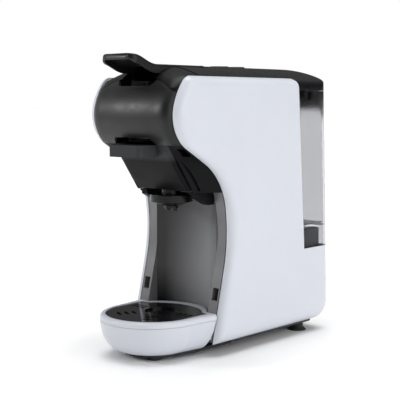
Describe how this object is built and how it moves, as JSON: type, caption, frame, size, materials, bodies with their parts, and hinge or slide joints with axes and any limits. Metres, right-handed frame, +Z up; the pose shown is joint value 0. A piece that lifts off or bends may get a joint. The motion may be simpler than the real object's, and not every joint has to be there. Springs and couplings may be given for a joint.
{
  "type": "pod coffee machine",
  "caption": "Narrow pod coffee machine: S-shaped side panels, round brew head with lever and sliding pod drawer, removable drip tray, rear water tank with hinged lid.",
  "frame": {"origin": "centre of the footprint's bounding box, on the surface the feet stand on", "axes": "+Z up, -Y to the front where the drip tray is, +X to the right of someone who faces the machine's front; X = 0 is the plane of symmetry"},
  "size_m": [0.125, 0.2658, 0.2916],
  "materials": {
    "white_panel": "satin",
    "tray_white": "satin",
    "graphite": "satin",
    "black_satin": "satin",
    "lever_black": "satin",
    "black_textured": "textured",
    "cup_black": "satin",
    "niche_grey": "gloss",
    "rail_grey": "satin",
    "grid_black": "gloss",
    "base_black": "matte",
    "tank_clear": "clear, lightly smoked",
    "seat_grey": "matte",
    "bay_black": "matte",
    "rubber_black": "matte",
    "steel": "brushed",
    "spring_steel": "bright",
    "cast_heater": "cast",
    "pump_body": "matte",
    "meter_body": "matte",
    "board_green": "satin",
    "brass_posts": "satin",
    "hose_clear": "satin",
    "terminal": "matte",
    "valve_white": "satin",
    "button_face": "satin"
  },
  "bodies": {
    "machine": {"side_panel_right": "white_panel", "side_panel_left": "white_panel", "panel_screws": "steel", "head_front_cover": "graphite", "top_cover": "black_satin", "lever_well": "black_textured", "head_cheek_right": "black_textured", "head_cheek_left": "black_textured", "head_floor": "black_textured", "brew_frame": "steel", "lever_pin": "steel", "piston_spring": "spring_steel", "niche_wall": "niche_grey", "rail_right": "rail_grey", "rail_left": "rail_grey", "base_plate": "base_black", "rubber_feet": "rubber_black", "tank_bay": "bay_black", "rear_cover": "bay_black", "cord_gland": "rubber_black", "tank_seat": "seat_grey", "chassis": "base_black", "boiler": "cast_heater", "pump": "pump_body", "pump_mounts": "rubber_black", "flow_meter": "meter_body", "control_board": "board_green", "board_standoffs": "brass_posts", "hoses": "hose_clear", "mains_block": "terminal", "dome_small_cup": "rubber_black", "dome_large_cup": "rubber_black"},
    "lever_arm": {"lever": "lever_black"},
    "piston": {"brew_piston": "cup_black", "piston_seal": "rubber_black", "needle_plate": "steel"},
    "pod_drawer": {"drawer_front": "black_textured", "cup_carrier": "black_textured", "pod_cup": "cup_black", "cup_ring": "cup_black", "cup_spout": "cup_black"},
    "drip_tray": {"tray_bowl": "tray_white", "tray_rim": "tray_white"},
    "grid": {"drip_grid": "grid_black"},
    "tank": {"tank_shell": "tank_clear", "tank_hinge": "black_satin", "lid_pins": "steel"},
    "valve": {"tank_valve": "valve_white"},
    "tank_lid_flap": {"tank_lid": "black_satin"},
    "button_small": {"button_small_cup": "button_face"},
    "button_large": {"button_large_cup": "button_face"}
  },
  "joints": [
    {"name": "lever_hinge", "type": "hinge", "parent": "machine", "child": "lever_arm", "pos_m": [0, -0.034, 0.271], "axis": [-1, 0, 0], "range_deg": [0, 80]},
    {"name": "piston_slide", "type": "slide", "parent": "machine", "child": "piston", "axis": [0, 0, 1], "range_m": [0, 0.0101], "deforming": ["piston_spring"]},
    {"name": "pod_drawer_slide", "type": "slide", "parent": "machine", "child": "pod_drawer", "axis": [0, -1, 0], "range_m": [0, 0.085]},
    {"name": "drip_tray_slide", "type": "slide", "parent": "machine", "child": "drip_tray", "axis": [0, -1, 0], "range_m": [0, 0.12]},
    {"name": "drip_grid_lift", "type": "slide", "parent": "drip_tray", "child": "grid", "axis": [0, 0, 1], "range_m": [0, 0.06]},
    {"name": "tank_lift", "type": "slide", "parent": "machine", "child": "tank", "axis": [0, 0, 1], "range_m": [0, 0.17]},
    {"name": "tank_lid_hinge", "type": "hinge", "parent": "tank", "child": "tank_lid_flap", "pos_m": [0, 0.12603, 0.2596], "axis": [-1, 0, 0], "range_deg": [0, 75]},
    {"name": "tank_valve_slide", "type": "slide", "parent": "tank", "child": "valve", "axis": [0, 0, 1], "range_m": [0, 0.002]},
    {"name": "small_cup_press", "type": "slide", "parent": "machine", "child": "button_small", "axis": [0, 0, -1], "range_m": [0, 0.0015], "stiffness_N_per_m": 400, "springref_m": -0.001, "deforming": ["dome_small_cup"]},
    {"name": "large_cup_press", "type": "slide", "parent": "machine", "child": "button_large", "axis": [0, 0, -1], "range_m": [0, 0.0015], "stiffness_N_per_m": 400, "springref_m": -0.001, "deforming": ["dome_large_cup"]}
  ],
  "couplings": [
    {"joint": "piston_slide", "follows": "lever_hinge", "m_per_rad": 0.007162}
  ]
}
